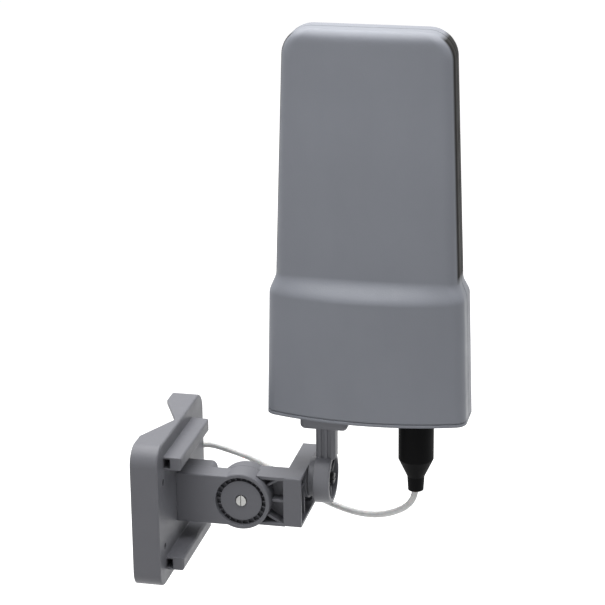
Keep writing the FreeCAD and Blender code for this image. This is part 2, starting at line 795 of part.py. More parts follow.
def board_corner_points():
    """Posts under the board's corners, as (x, z)."""
    low = board_low_z + board_screw_inset
    high = board_low_z + board_height - board_screw_inset
    across = board_width / 2 - board_screw_inset
    return [(head_x + side * across, z) for side in (-1, 1) for z in (low, high)]


def gasket_solid():
    """Seal that lies in the rear cover's rim at the parting plane."""
    outer, inner = [Part.Face(head_solid(inset).slice(AXIS_Y, parting_y)[0])
                    for inset in (gasket_inset, gasket_inset + gasket_width)]
    return outer.cut(inner).extrude(AXIS_Y * gasket_height).common(above(cap_top_z))


def make_front_cover(outer, cavity):
    """Front shell with the bowed face, the skirt's front and the screw bosses."""
    bosses = []
    holes = []
    for x, z in cover_screw_points():
        boss = rod(cover_boss_r, Vec(x, 0, z), AXIS_Y, parting_y)
        bosses.append(boss.common(outer))
        holes.append(rod(small_screw_r, Vec(x, parting_y - cover_screw_grip - pilot_extra, z), AXIS_Y,
                         cover_screw_grip + pilot_extra))
    shell = outer.cut(cavity).cut(behind(parting_y - seam_width))
    lip = head_solid(seam_depth).cut(cavity).cut(behind(parting_y))
    shell = shell.fuse(lip).common(above(cap_top_z))
    return cut_all(fuse_all([shell] + bosses), holes)


def make_rear_cover(outer, cavity, gasket):
    """Rear shell with screw recesses, board posts and the bosses for the bottom cap."""
    rear = outer.common(behind(parting_y))
    pieces = [rear.cut(cavity).common(above(cap_top_z))]
    tools = [gasket]
    for x, z in cover_screw_points():
        back = rear_face_y(z)
        pieces.append(rod(cover_boss_r, Vec(x, parting_y, z), AXIS_Y, skirt_back_y - parting_y).common(rear))
        tools.append(rod(small_screw_r + hole_gap, Vec(x, parting_y, z), AXIS_Y, skirt_back_y - parting_y))
        tools.append(rod(small_head_r + hole_gap, Vec(x, back - cover_screw_recess, z), AXIS_Y,
                         cover_screw_recess + bite))
    for x, z in board_corner_points():
        start = board_front_y + board_thickness
        pieces.append(rod(board_post_r, Vec(x, start, z), AXIS_Y, skirt_back_y - start).common(rear))
        tools.append(rod(small_screw_r, Vec(x, start, z), AXIS_Y, board_screw_grip + pilot_extra))
    for x, y in cap_screw_points():
        start = cap_top_z + cap_rim_height + fit_gap
        boss = box(x - cover_boss_r, x + cover_boss_r, y - cover_boss_r, skirt_back_y,
                   start, start + cap_screw_grip + cap_boss_floor)
        pieces.append(boss.common(rear))
        tools.append(rod(small_screw_r, Vec(x, y, start), AXIS_Z, cap_screw_grip + pilot_extra))
    return cut_all(fuse_all(pieces), tools)


def rear_face_y(z):
    """Outer face of the rear cover at a height."""
    if z < skirt_top_z:
        return skirt_back_y
    if z > shoulder_top_z:
        return body_back_y
    share = (z - skirt_top_z) / shoulder_height
    return skirt_back_y + share * (body_back_y - skirt_back_y)


def make_cover_screws():
    """Screws from behind that hold the two covers together."""
    screws = []
    for x, z in cover_screw_points():
        seat = rear_face_y(z) - cover_screw_recess
        screws.append(small_screw(Vec(x, seat, z), AXIS_Y * -1, seat - parting_y + cover_screw_grip))
    return Part.makeCompound(screws)


def make_bottom_cap(outer):
    """Cap that closes the head below, with a rim inside the covers."""
    plate = outer.cut(above(cap_top_z - seam_width))
    seat = head_solid(seam_depth).cut(above(cap_top_z))
    rim_inset = cover_wall + fit_gap
    rim = head_solid(rim_inset).cut(head_solid(rim_inset + cap_rim_wall))
    rim = rim.common(above(cap_top_z - bite)).cut(above(cap_top_z + cap_rim_height))
    collar = ring(boot_r + fit_gap + collar_wall, boot_r + fit_gap,
                  Vec(lead_x, lead_y, head_bottom_z - collar_height), AXIS_Z, collar_height + bite)
    pieces = [plate, seat, rim, collar]
    for x, y in cap_screw_points():
        pieces.append(rod(cover_boss_r, Vec(x, y, cap_top_z - bite), AXIS_Z, cap_rim_height + bite))
    tools = [rod(socket_thread_r + hole_gap, Vec(lead_x, lead_y, head_bottom_z), AXIS_Z, cap_thickness)]
    for x, y in stem_screw_places():
        tools.append(rod(small_screw_r + hole_gap, Vec(x, y, head_bottom_z), AXIS_Z, cap_thickness))
    for x, y in cap_screw_points():
        start = Vec(x, y, head_bottom_z)
        tools.append(rod(small_screw_r + hole_gap, start, AXIS_Z, cap_thickness + cap_rim_height))
        tools.append(rod(small_head_r + hole_gap, start, AXIS_Z, small_head_height))
    return cut_all(fuse_all(pieces), tools)


def make_cap_screws():
    """Screws that hold the bottom cap to the rear cover."""
    seat = head_bottom_z + small_head_height
    grip = cap_top_z + cap_rim_height + fit_gap + cap_screw_grip - seat
    return Part.makeCompound([small_screw(Vec(x, y, seat), AXIS_Z, grip) for x, y in cap_screw_points()])


# Board, antenna element and shield can

def make_antenna_board():
    """Circuit board on the rear cover's posts."""
    board = box(head_x - board_width / 2, head_x + board_width / 2, board_front_y,
                board_front_y + board_thickness, board_low_z, board_low_z + board_height)
    holes = []
    for x, z in board_corner_points():
        holes.append(rod(small_screw_r + hole_gap, Vec(x, board_front_y, z), AXIS_Y, board_thickness))
    return cut_all(board, holes)


def make_board_screws():
    """Screws that hold the board to its posts."""
    screws = []
    for x, z in board_corner_points():
        screws.append(small_screw(Vec(x, board_front_y, z), AXIS_Y, board_thickness + board_screw_grip))
    return Part.makeCompound(screws)


def make_antenna_element():
    """Two copper wings of the dipole on the board's front."""
    middle = (element_low_z + element_high_z) / 2
    tip_half = board_width / 2 - element_side_margin
    feed_half = element_feed_width / 2
    y = board_front_y - element_thickness
    wings = []
    for side, tip in ((-1, element_low_z), (1, element_high_z)):
        feed = middle + side * element_gap / 2
        corners = [Vec(head_x - feed_half, y, feed), Vec(head_x + feed_half, y, feed),
                   Vec(head_x + tip_half, y, tip), Vec(head_x - tip_half, y, tip),
                   Vec(head_x - feed_half, y, feed)]
        wings.append(Part.Face(Part.makePolygon(corners)).extrude(AXIS_Y * element_thickness))
    return Part.makeCompound(wings)


def make_shield_can():
    """Sheet-metal can over the amplifier, open towards the board."""
    low = can_top_z - can_height
    x0 = head_x - can_width / 2
    y0 = board_front_y - can_depth
    can = box(x0, x0 + can_width, y0, board_front_y, low, can_top_z)
    hollow = box(x0 + can_wall, x0 + can_width - can_wall, y0 + can_wall, board_front_y,
                 low + can_wall, can_top_z - can_wall)
    return can.cut(hollow)


# Socket, plug and boot

def make_f_socket():
    """Threaded socket through the bottom cap, its hexagon inside the head."""
    low = Vec(lead_x, lead_y, head_bottom_z - socket_reach)
    barrel = rod(socket_thread_r, low, AXIS_Z, socket_reach + cap_thickness)
    flange = hexagon(socket_hex_flats, Vec(lead_x, lead_y, cap_top_z), AXIS_Z, socket_hex_height)
    bore = rod(socket_bore_r, low, AXIS_Z, socket_reach)
    return barrel.fuse(flange).cut(bore)


def make_socket_washer():
    """Seal washer under the socket's nut."""
    start = Vec(lead_x, lead_y, head_bottom_z - socket_washer_thickness)
    return ring(socket_nut_r, socket_thread_r + thread_gap, start, AXIS_Z, socket_washer_thickness)


def make_socket_nut():
    """Nut that clamps the socket to the bottom cap."""
    start = Vec(lead_x, lead_y, socket_nut_bottom())
    return nut(socket_nut_flats, start, AXIS_Z, socket_nut_height, socket_thread_r + thread_gap)


def socket_nut_bottom():
    """Lower face of the socket's nut."""
    return head_bottom_z - socket_washer_thickness - socket_nut_height


def make_boot_plug():
    """Plug on the socket's thread, with the crimped sleeve that grips the lead."""
    top = socket_nut_bottom()
    low = top - plug_nut_height
    body = hexagon(plug_flats, Vec(lead_x, lead_y, low), AXIS_Z, plug_nut_height)
    sleeve = rod(plug_sleeve_r, Vec(lead_x, lead_y, plug_sleeve_end_z), AXIS_Z,
                 low - plug_sleeve_end_z)
    thread_depth = top - (head_bottom_z - socket_reach)
    thread = rod(socket_thread_r + thread_gap, Vec(lead_x, lead_y, top - thread_depth), AXIS_Z, thread_depth)
    return body.fuse(sleeve).cut(thread)


def make_boot():
    """Rubber boot over the plug, pushed up against the bottom cap."""
    centre = Vec(lead_x, lead_y, 0)
    top = head_bottom_z
    lead_r = cable_r + hole_gap
    sleeve_r = plug_sleeve_r + thread_gap
    outline = [(lead_r, boot_end_z), (boot_tip_r, boot_end_z), (boot_neck_r, boot_taper_low),
               (boot_r, boot_taper_top), (boot_r, top), (boot_bore_r, top), (boot_bore_r, boot_taper_top),
               (sleeve_r, boot_taper_top), (sleeve_r, plug_sleeve_end_z), (lead_r, plug_sleeve_end_z)]
    boot = revolve_profile(outline, centre)
    return fillet_where(boot, boot_edge_r,
                        lambda b: near(b.XLength, 2 * boot_r) and near(b.ZMax, boot_taper_top))


# Lead

def lead_tube(route, label):
    """Round tube along straight runs joined by arcs as large as the runs allow."""
    points = [Vec(*point) for point in route]
    edges = []
    start = points[0]
    for before, corner, after in zip(points, points[1:], points[2:]):
        into = (corner - before).normalize()
        out = (after - corner).normalize()
        turn = into.getAngle(out)
        shorter = min((corner - before).Length, (after - corner).Length)
        back = arc_share * shorter
        radius = back / math.tan(turn / 2)
        print("%s bend radius %.1f" % (label, radius))
        arc_start = corner - into * back
        arc_end = corner + out * back
        inward = (out - into).normalize()
        middle = corner + inward * (radius / math.cos(turn / 2) - radius)
        edges.append(Part.LineSegment(start, arc_start).toShape())
        edges.append(Part.Arc(arc_start, middle, arc_end).toShape())
        start = arc_end
    edges.append(Part.LineSegment(start, points[-1]).toShape())
    path = Part.Wire(edges)
    circle = Part.Circle(points[0], points[1] - points[0], cable_r)
    section = Part.Wire([circle.toShape()])
    tube = path.makePipeShell([section], True, False)
    share = tube.Volume / (math.pi * cable_r ** 2 * path.Length)
    print("%s length %.1f, volume over section times length %.4f" % (label, path.Length, share))
    return tube


def racetrack(bend_r, x0, x1, top, bottom):
    """Flat slab with two straight sides and round ends, upright beside the wall plate."""
    low = bottom + bend_r
    high = top - bend_r
    slab = box(x0, x1, hank_y - bend_r, hank_y + bend_r, low, high)
    ends = [rod(bend_r, Vec(x0, hank_y, z), AXIS_X, x1 - x0) for z in (low, high)]
    return fuse_all([slab] + ends)


def make_cable_hank():
    """Outer shape of the put-away turns."""
    half = hank_layers * cable_r
    inner_r = hank_bend_r - cable_r
    wide = inner_r + hank_rows * cable_d
    outer = racetrack(wide, hank_x - half, hank_x + half, hank_top_z, hank_bottom_z)
    inner = racetrack(inner_r, hank_x - half, hank_x + half, hank_top_z - hank_rows * cable_d,
                      hank_bottom_z + hank_rows * cable_d)
    return outer.cut(inner)


def make_hank_tie():
    """Band round the waist of the hank."""
    half = hank_layers * cable_r
    wide = hank_bend_r - cable_r + hank_rows * cable_d
    low = hank_tie_z - hank_tie_width / 2
    high = hank_tie_z + hank_tie_width / 2
    grow = hank_tie_thickness
    band = box(hank_x - half - grow, hank_x + half + grow, hank_y - wide - grow, hank_y + wide + grow,
               low, high)
    hole = box(hank_x - half, hank_x + half, hank_y - wide, hank_y + wide, low, high)
    return band.cut(hole)


def make_lead_plug():
    """Plug on the lead's far end, lying on the front of the hank."""
    front = hank_x + hank_layers * cable_r
    near_middle = hank_y - hank_bend_r + cable_r - hank_rows * cable_r
    start = Vec(front + lead_plug_flats / 2, near_middle, lead_plug_top_z - lead_plug_length)
    body = rod(lead_plug_r, start, AXIS_Z, lead_plug_length)
    collar = hexagon(lead_plug_flats, start, AXIS_Z, lead_plug_collar)
    collar.rotate(start, AXIS_Z, 30)
    return body.fuse(collar)


def main():
    """Build every node and write it."""
    os.makedirs("parts", exist_ok=True)
    outer = head_solid(0)
    cavity = head_solid(cover_wall)
    gasket = gasket_solid()
    nodes = {
        "wall_plate": make_wall_plate(),
        "inner_arm": make_inner_arm(),
        "arm_screws": make_arm_screws(),
        "outer_arm": make_outer_arm(),
        "elbow_screw": make_elbow_screw(),
        "elbow_washer": make_elbow_washer(),
        "elbow_nut": make_elbow_nut(),
        "tilt_screw": make_tilt_screw(),
        "tilt_washer": make_tilt_washer(),
        "tilt_nut": make_tilt_nut(),
        "stem": make_stem(),
        "stem_screws": make_stem_screws(),
        "front_cover": make_front_cover(outer, cavity),
        "rear_cover": make_rear_cover(outer, cavity, gasket),
        "cover_gasket": gasket,
        "cover_screws": make_cover_screws(),
        "bottom_cap": make_bottom_cap(outer),
        "cap_screws": make_cap_screws(),
        "antenna_board": make_antenna_board(),
        "antenna_element": make_antenna_element(),
        "board_screws": make_board_screws(),
        "shield_can": make_shield_can(),
        "f_socket": make_f_socket(),
        "socket_washer": make_socket_washer(),
        "socket_nut": make_socket_nut(),
        "boot_plug": make_boot_plug(),
        "boot": make_boot(),
        "cable_front": lead_tube(front_route, "cable_front"),
        "cable_rear": lead_tube(rear_route, "cable_rear"),
        "cable_hank": make_cable_hank(),
        "hank_tie": make_hank_tie(),
        "lead_plug": make_lead_plug(),
    }
    for name, shape in nodes.items():
        save(name, shape)
        print(name, "solids", len(shape.Solids), "valid", shape.isValid(), "volume %.0f" % shape.Volume)


main()
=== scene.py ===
"""Outdoor TV antenna: its lead, finishes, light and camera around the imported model."""
import math

import bmesh
import bpy
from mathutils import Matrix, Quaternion, Vector


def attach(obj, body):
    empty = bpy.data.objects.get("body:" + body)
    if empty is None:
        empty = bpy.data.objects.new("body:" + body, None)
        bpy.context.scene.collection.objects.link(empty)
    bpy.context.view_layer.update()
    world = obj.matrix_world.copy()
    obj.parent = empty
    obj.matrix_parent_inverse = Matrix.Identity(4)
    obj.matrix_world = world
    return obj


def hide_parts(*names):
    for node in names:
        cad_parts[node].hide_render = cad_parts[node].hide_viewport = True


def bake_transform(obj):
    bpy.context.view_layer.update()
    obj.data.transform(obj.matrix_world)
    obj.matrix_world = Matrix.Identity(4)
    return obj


MM = 0.001

# Camera
camera_place = (462.93, -1512.18, 689.87)
camera_target = (116.54, 10.0, 156.0)
camera_lens = 133.35
camera_sensor = 36.0
camera_roll = -0.59

# Painted shade: a dark band painted on the covers' upper sides, where those sides lie in shadow; in metres
band_middle_x = 0.162
band_half = 0.0688       # the head's half width at the shoulder
band_foot = 0.1743       # height of the shoulder
band_taper = 0.0337
band_depth = 0.0012      # how far in from the head's outline
band_soft = 0.0005
band_low = 0.172
band_low_fade = 0.006
band_high = 0.3555
band_high_fade = 0.003
crown_low = 0.3383
crown_r = 0.020

# Lead
lead_r = 2.5
lead_sides = 20
front_route = (
    (198.5, 30.8, 11.4), (198.5, 30.8, 1.0), (192.6, 33.9, -10.6), (180.7, 40.2, -20.0),
    (165.8, 48.7, -27.6), (148.6, 58.0, -31.6), (129.0, 68.5, -31.8), (107.0, 77.0, -26.8),
    (95.5, 78.25, -21.0))
rear_route = (
    (95.5, 78.25, -21.0), (84.0, 79.5, -15.2), (62.0, 79.6, -2.6), (40.0, 80.6, 3.8),
    (23.5, 81.4, 7.4), (14.6, 80.8, 5.4), (8.6, 78.2, 0.4), (4.9, 76.4, -7.4), (3.6, 76.2, -16.0))

# Put-away hank: bend radii of its rows, from the outside in
hank_x = 3.3
hank_y = 101.5
hank_high = -7.5
hank_low = -52.5
hank_bends = (25.0, 20.0, 15.0)
strand_shares = (0.12, 0.5, 0.88)
arc_steps = 6
row_change_steps = 3
tail_rise = (1.6, 3.8, 6.0)
tail_end = ((11.1, 83.5, -12.0), (11.3, 81.5, -18.0), (11.3, 81.5, -23.0))

# Tie and far plug
tie_z = -49.0
tie_width = 4.6
tie_thickness = 0.75
tie_half_x = 2.55
tie_half_y = 27.55
tie_corner = 2.4
plug_x = 11.3
plug_y = 81.5
plug_top = -22.0
plug_sides = 120
plug_flutes = 30
plug_flute_depth = 0.22
lock_size = (3.2, 6.4, 6.8)
lock_gap = 1.8
lock_y = 15.0
lock_edge = 0.8
tail_size = (0.9, 5.6, 4.4)
tail_gap = 1.6
tail_y = 20.6

# Stage and light, in metres and watts
floor_place = (0.1, 0.0, -0.42)
floor_half = 6.0
floor_grey = 0.5
floor_glow = 0.85
world_light = 0.15
world_seen = 1.0
overhead_place = (0.0, 0.3, 1.8)
overhead_target = (0.0, 0.3, 0.0)
overhead_size = 2.7
overhead_watts = 92.0
front_place = (-0.2, -1.9, 0.5)
front_target = (0.12, 0.03, 0.15)
front_size = 1.4
front_watts = 5.0


# Materials

class Shader:
    """A material under construction: adds nodes and links them in reading order."""

    def __init__(self, name):
        self.material = bpy.data.materials.new(name)
        self.material.use_nodes = True
        self.tree = self.material.node_tree
        self.bsdf = self.tree.nodes["Principled BSDF"]
        self.place = self.add("ShaderNodeTexCoord").outputs["Object"]

    def add(self, kind, **settings):
        node = self.tree.nodes.new(kind)
        for key, value in settings.items():
            setattr(node, key, value)
        return node

    def join(self, source, target):
        self.tree.links.new(source, target)

    def noise(self, scale, detail=3.0, roughness=0.55, place=None):
        node = self.add("ShaderNodeTexNoise")
        node.inputs["Scale"].default_value = scale
        node.inputs["Detail"].default_value = detail
        node.inputs["Roughness"].default_value = roughness
        self.join(place or self.place, node.inputs["Vector"])
        return node.outputs["Fac"]

    def cells(self, scale):
        node = self.add("ShaderNodeTexVoronoi")
        node.inputs["Scale"].default_value = scale
        self.join(self.place, node.inputs["Vector"])
        return node.outputs["Distance"]

    def stretched(self, scale):
        node = self.add("ShaderNodeMapping")
        node.inputs["Scale"].default_value = scale
        self.join(self.place, node.inputs["Vector"])
        return node.outputs["Vector"]

    def spread(self, value, low, high, from_low=0.3, from_high=0.7):
        node = self.add("ShaderNodeMapRange")
        node.inputs["From Min"].default_value = from_low
        node.inputs["From Max"].default_value = from_high
        node.inputs["To Min"].default_value = low
        node.inputs["To Max"].default_value = high
        self.join(value, node.inputs["Value"])
        return node.outputs["Result"]

    def ramp(self, value, stops):
        node = self.add("ShaderNodeValToRGB")
        elements = node.color_ramp.elements
        while len(elements) < len(stops):
            elements.new(0.5)
        for element, (position, colour) in zip(elements, stops):
            element.position = position
            element.color = (*colour, 1.0)
        self.join(value, node.inputs["Fac"])
        return node.outputs["Color"]

    def mix(self, share, first, second):
        node = self.add("ShaderNodeMix", data_type="RGBA")
        sockets = (node.inputs["Factor"], node.inputs[6], node.inputs[7])
        for value, socket in zip((share, first, second), sockets):
            if isinstance(value, bpy.types.NodeSocket):
                self.join(value, socket)
            elif isinstance(value, tuple):
                socket.default_value = (*value, 1.0)
            else:
                socket.default_value = value
        return node.outputs[2]

    def sum(self, first, second, share):
        node = self.add("ShaderNodeMath", operation="MULTIPLY_ADD")
        self.join(second, node.inputs[0])
        node.inputs[1].default_value = share
        self.join(first, node.inputs[2])
        return node.outputs["Value"]

    def rounded(self, radius):
        """Normal with its sharp edges rounded off."""
        node = self.add("ShaderNodeBevel", samples=6)
        node.inputs["Radius"].default_value = radius
        return node.outputs["Normal"]

    def edges(self, normal):
        """1 where a rounded normal leaves the surface's own, on edges, and 0 on open faces."""
        own = self.add("ShaderNodeNewGeometry").outputs["Normal"]
        turn = self.add("ShaderNodeVectorMath", operation="DOT_PRODUCT")
        self.join(normal, turn.inputs[0])
        self.join(own, turn.inputs[1])
        return self.spread(turn.outputs["Value"], 1.0, 0.0, 0.86, 0.995)

    def times(self, first, second):
        node = self.add("ShaderNodeMath", operation="MULTIPLY")
        self.join(first, node.inputs[0])
        self.join(second, node.inputs[1])
        return node.outputs["Value"]

    def bump(self, height, distance, strength=1.0, normal=None):
        node = self.add("ShaderNodeBump")
        node.inputs["Strength"].default_value = strength
        node.inputs["Distance"].default_value = distance
        self.join(height, node.inputs["Height"])
        if normal:
            self.join(normal, node.inputs["Normal"])
        self.join(node.outputs["Normal"], self.bsdf.inputs["Normal"])

    def colour(self, socket):
        self.join(socket, self.bsdf.inputs["Base Color"])

    def rough(self, socket):
        self.join(socket, self.bsdf.inputs["Roughness"])

    def set(self, **values):
        for key, value in values.items():
            self.bsdf.inputs[key.replace("_", " ")].default_value = value


def shade(colour, factor):
    """A colour made lighter or darker."""
    return tuple(min(1.0, channel * factor) for channel in colour)


def painted_side_shade_mask(s):
    """Mask of the painted shade: 1 on the upper head's two sides, which draw in towards the top and turn
    round its corners.
    """
    parts = s.add("ShaderNodeSeparateXYZ")
    s.join(s.place, parts.inputs["Vector"])
    across = s.add("ShaderNodeMath", operation="SUBTRACT")
    s.join(parts.outputs["X"], across.inputs[0])
    across.inputs[1].default_value = band_middle_x
    size = s.add("ShaderNodeMath", operation="ABSOLUTE")
    s.join(across.outputs["Value"], size.inputs[0])
    reach = s.sum(size.outputs["Value"], parts.outputs["Z"], band_taper)
    lift = s.spread(parts.outputs["Z"], 0.0, 1.0, crown_low, crown_low + crown_r)
    turn = s.add("ShaderNodeMath", operation="SQRT")
    s.join(s.spread(s.times(lift, lift), 1.0, 0.0, 0.0, 1.0), turn.inputs[0])
    outline = s.sum(reach, turn.outputs["Value"], -crown_r)
    limit = band_half + band_taper * band_foot - band_depth - crown_r
    side = s.spread(outline, 0.0, 1.0, limit - band_soft, limit + band_soft)
    above = s.spread(parts.outputs["Z"], 0.0, 1.0, band_low, band_low + band_low_fade)
    below = s.spread(parts.outputs["Z"], 1.0, 0.0, band_high - band_high_fade, band_high)
    return s.times(side, s.times(above, below))


def moulded_plastic(name, colour, roughness, grain, edge_r, edge_wear_and_highlight, side_shade=None):
    """Grey moulded plastic: sparked grain, faint flow clouds, dull patches, edges made pale by rubbed wear
    and a painted highlight, and an optional painted shade band.
    """
    s = Shader(name)
    clouds = s.noise(9.0, 4.0)
    flow = s.noise(1.0, 3.0, place=s.stretched((26.0, 26.0, 7.0)))
    tone = s.sum(clouds, flow, 0.6)
    base = s.ramp(s.spread(tone, 0.0, 1.0, 0.55, 1.05),
                  ((0.0, shade(colour, 0.95)), (0.5, colour), (1.0, shade(colour, 1.05))))
    specks = s.spread(s.noise(1400.0, 2.0), 0.0, 0.3, 0.62, 0.75)
    grained = s.mix(specks, base, shade(colour, 1.2))
    normal = s.rounded(edge_r)
    # Pale edges: partly rubbed wear, partly a painted highlight where edges catch light
    rubbed_and_highlit = s.times(s.edges(normal), s.spread(s.noise(240.0, 4.0), 0.3, 1.0))
    wear_and_painted_light = s.mix(rubbed_and_highlit, grained, shade(colour, edge_wear_and_highlight))
    s.set(Specular_IOR_Level=0.42)
    # Painted shade on the head's upper sides: dark colour and almost no reflection there
    if side_shade:
        share = painted_side_shade_mask(s)
        wear_and_painted_light = s.mix(share, wear_and_painted_light, side_shade)
        s.join(s.spread(share, 0.42, 0.02, 0.0, 1.0), s.bsdf.inputs["Specular IOR Level"])
    s.colour(wear_and_painted_light)
    s.rough(s.spread(s.noise(55.0, 5.0), roughness - 0.05, roughness + 0.06))
    height = s.sum(s.noise(grain, 3.0), s.cells(grain * 0.7), 0.5)
    s.bump(height, 0.00009, 0.5, normal)
    return s.material


def plated_steel(name, colour, roughness):
    """Plated or bare metal with turned marks and dull spots."""
    s = Shader(name)
    marks = s.noise(1.0, 4.0, 0.7, s.stretched((900.0, 5200.0, 900.0)))
    dull = s.noise(420.0, 4.0)
    base = s.ramp(dull, ((0.35, shade(colour, 0.82)), (0.6, colour)))
    s.colour(base)
    s.rough(s.sum(s.spread(dull, roughness - 0.08, roughness + 0.1), marks, 0.08))
    s.bump(marks, 0.00003, 0.5)
    s.set(Metallic=1.0)
    return s.material


def soft_rubber(name, colour):
    """Black rubber with a skin of fine pits and faint bloom."""
    s = Shader(name)
    bloom = s.noise(38.0, 5.0)
    s.colour(s.ramp(bloom, ((0.3, colour), (0.75, shade(colour, 1.6)))))
    s.rough(s.spread(bloom, 0.5, 0.66))
    s.bump(s.sum(s.noise(1500.0, 2.0), s.cells(900.0), 0.4), 0.00008, 0.5)
    s.set(Specular_IOR_Level=0.05)
    return s.material


def pvc_jacket(name, colour):
    """Off-white cable jacket with faint handling marks."""
    s = Shader(name)
    marks = s.noise(160.0, 5.0, 0.6)
    base = s.ramp(marks, ((0.32, shade(colour, 0.86)), (0.5, colour), (0.8, shade(colour, 1.05))))
    s.colour(base)
    s.rough(s.spread(s.noise(300.0, 3.0), 0.34, 0.48))
    s.bump(s.noise(700.0, 3.0), 0.00006, 0.4)
    s.set(Specular_IOR_Level=0.5, Subsurface_Weight=0.06, Subsurface_Scale=0.002)
    return s.material


def solder_mask(name, colour, track):
    """Glossy board lacquer with the pale shadow of tracks under it."""
    s = Shader(name)
    lines = s.add("ShaderNodeTexBrick")
    lines.inputs["Scale"].default_value = 90.0
    lines.inputs["Mortar Size"].default_value = 0.03
    lines.inputs["Color1"].default_value = (*colour, 1.0)
    lines.inputs["Color2"].default_value = (*shade(colour, 0.85), 1.0)
    lines.inputs["Mortar"].default_value = (*track, 1.0)
    flat = s.add("ShaderNodeMapping")
    flat.inputs["Rotation"].default_value = (math.radians(90), 0, 0)
    s.join(s.place, flat.inputs["Vector"])
    s.join(flat.outputs["Vector"], lines.inputs["Vector"])
    s.colour(lines.outputs["Color"])
    s.rough(s.spread(s.noise(200.0), 0.2, 0.34))
    s.bump(lines.outputs["Fac"], 0.00004, 0.4)
    return s.material


cover_colour = (0.226, 0.238, 0.270)
# Painted shade colour for the head's upper sides, which lie in shadow
painted_side_shade_colour = (0.030, 0.029, 0.028)
bracket_colour = (0.136, 0.138, 0.154)
stem_colour = (0.178, 0.181, 0.200)
MATERIALS = {
    "cap": moulded_plastic("cap_grey", cover_colour, 0.44, 1100.0, 0.0015, 1.12),
    # The covers carry the painted side shade
    "cover": moulded_plastic("cover_grey", cover_colour, 0.45, 1100.0, 0.0015, 1.12, painted_side_shade_colour),
    "bracket": moulded_plastic("bracket_grey", bracket_colour, 0.46, 850.0, 0.001, 1.3),
    "stem": moulded_plastic("stem_grey", stem_colour, 0.46, 850.0, 0.001, 1.2),
    "steel": plated_steel("zinc_steel", (0.40, 0.40, 0.39), 0.34),
    "black_steel": plated_steel("blackened_steel", (0.045, 0.045, 0.047), 0.42),
    "nickel": plated_steel("nickel", (0.76, 0.73, 0.68), 0.24),
    "tin": plated_steel("tinned_sheet", (0.66, 0.66, 0.64), 0.38),
    "copper": plated_steel("copper", (0.70, 0.34, 0.20), 0.33),
    "rubber": soft_rubber("boot_rubber", (0.003, 0.003, 0.0033)),
    "jacket": pvc_jacket("lead_jacket", (0.73, 0.735, 0.73)),
    "board": solder_mask("solder_mask", (0.02, 0.13, 0.05), (0.10, 0.30, 0.13)),
    "nylon": moulded_plastic("tie_nylon", (0.02, 0.02, 0.021), 0.42, 1300.0, 0.0003, 1.5),
}
NODE_FINISH = {
    "cap": ["bottom_cap"],
    "cover": ["front_cover", "rear_cover"],
    "bracket": ["wall_plate", "inner_arm", "outer_arm"],
    "stem": ["stem"],
    "steel": ["arm_screws", "elbow_screw", "elbow_washer", "elbow_nut", "stem_screws", "cap_screws",
              "cover_screws", "board_screws"],
    "black_steel": ["tilt_screw", "tilt_washer", "tilt_nut"],
    "nickel": ["f_socket", "socket_nut", "boot_plug"],
    "tin": ["shield_can"],
    "copper": ["antenna_element"],
    "rubber": ["boot", "cover_gasket", "socket_washer"],
    "board": ["antenna_board"],
}


def dress_nodes(frame):
    """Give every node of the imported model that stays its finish."""
    for finish, names in NODE_FINISH.items():
        for name in names:
            mesh = frame["nodes"][name].data
            mesh.materials.clear()
            mesh.materials.append(MATERIALS[finish])


# Mesh helpers

def new_piece(name, mesh_maker, finish, smooth_angle=35.0):
    """Object from a bmesh, shaded smooth below an angle."""
    bm = bmesh.new()
    mesh_maker(bm)
    bmesh.ops.recalc_face_normals(bm, faces=bm.faces)
    mesh = bpy.data.meshes.new(name)
    bm.to_mesh(mesh)
    bm.free()
    mesh.materials.append(MATERIALS[finish])
    piece = bpy.data.objects.new(name, mesh)
    bpy.context.scene.collection.objects.link(piece)
    mesh.shade_smooth()
    mesh.set_sharp_from_angle(angle=math.radians(smooth_angle))
    return piece


def spline_line(points, steps):
    """Points along the smooth curve that a route's points control."""
    data = bpy.data.curves.new("route", "CURVE")
    data.dimensions = "3D"
    data.resolution_u = steps
    spline = data.splines.new("NURBS")
    spline.points.add(len(points) - 1)
    for control, point in zip(spline.points, points):
        control.co = (*[value * MM for value in point], 1.0)
    spline.order_u = 3
    spline.use_endpoint_u = True
    holder = bpy.data.objects.new("route", data)
    bpy.context.scene.collection.objects.link(holder)
    bpy.context.view_layer.update()
    mesh = bpy.data.meshes.new_from_object(holder)
    line = [vertex.co.copy() for vertex in mesh.vertices]
    bpy.data.objects.remove(holder)
    bpy.data.curves.remove(data)
    bpy.data.meshes.remove(mesh)
    return line


def tube(line, radius, sides):
    """Maker of a closed round tube along a line, its rings carried on without twist."""
    def make(bm):
        rings = []
        side = None
        for index, point in enumerate(line):
            before = line[max(index - 1, 0)]
            after = line[min(index + 1, len(line) - 1)]
            along = (after - before).normalized()
            if side is None:
                side = along.orthogonal()
            side = (side - along * side.dot(along)).normalized()
            other = along.cross(side)
            ring = []
            for step in range(sides):
                angle = math.tau * step / sides
                out = side * math.cos(angle) + other * math.sin(angle)
                ring.append(bm.verts.new(point + out * radius))
            rings.append(ring)
        for low, high in zip(rings, rings[1:]):
            for step in range(sides):
                after = (step + 1) % sides
                bm.faces.new((low[step], low[after], high[after], high[step]))
        bm.faces.new(rings[0][::-1])
        bm.faces.new(rings[-1])
    return make


# Lead

def eased(value):
    """0 to 1 with soft ends."""
    value = min(max(value, 0.0), 1.0)
    return value * value * (3 - 2 * value)


def turn_points():
    """One turn of the hank as (kind, share or angle): down, round, up and over."""
    step = math.pi / arc_steps
    turn = [("down", share) for share in strand_shares]
    turn += [("low", math.pi + step * (index + 0.5)) for index in range(arc_steps)]
    turn += [("up", share) for share in strand_shares]
    turn += [("high", step * (index + 0.5)) for index in range(arc_steps)]
    return turn


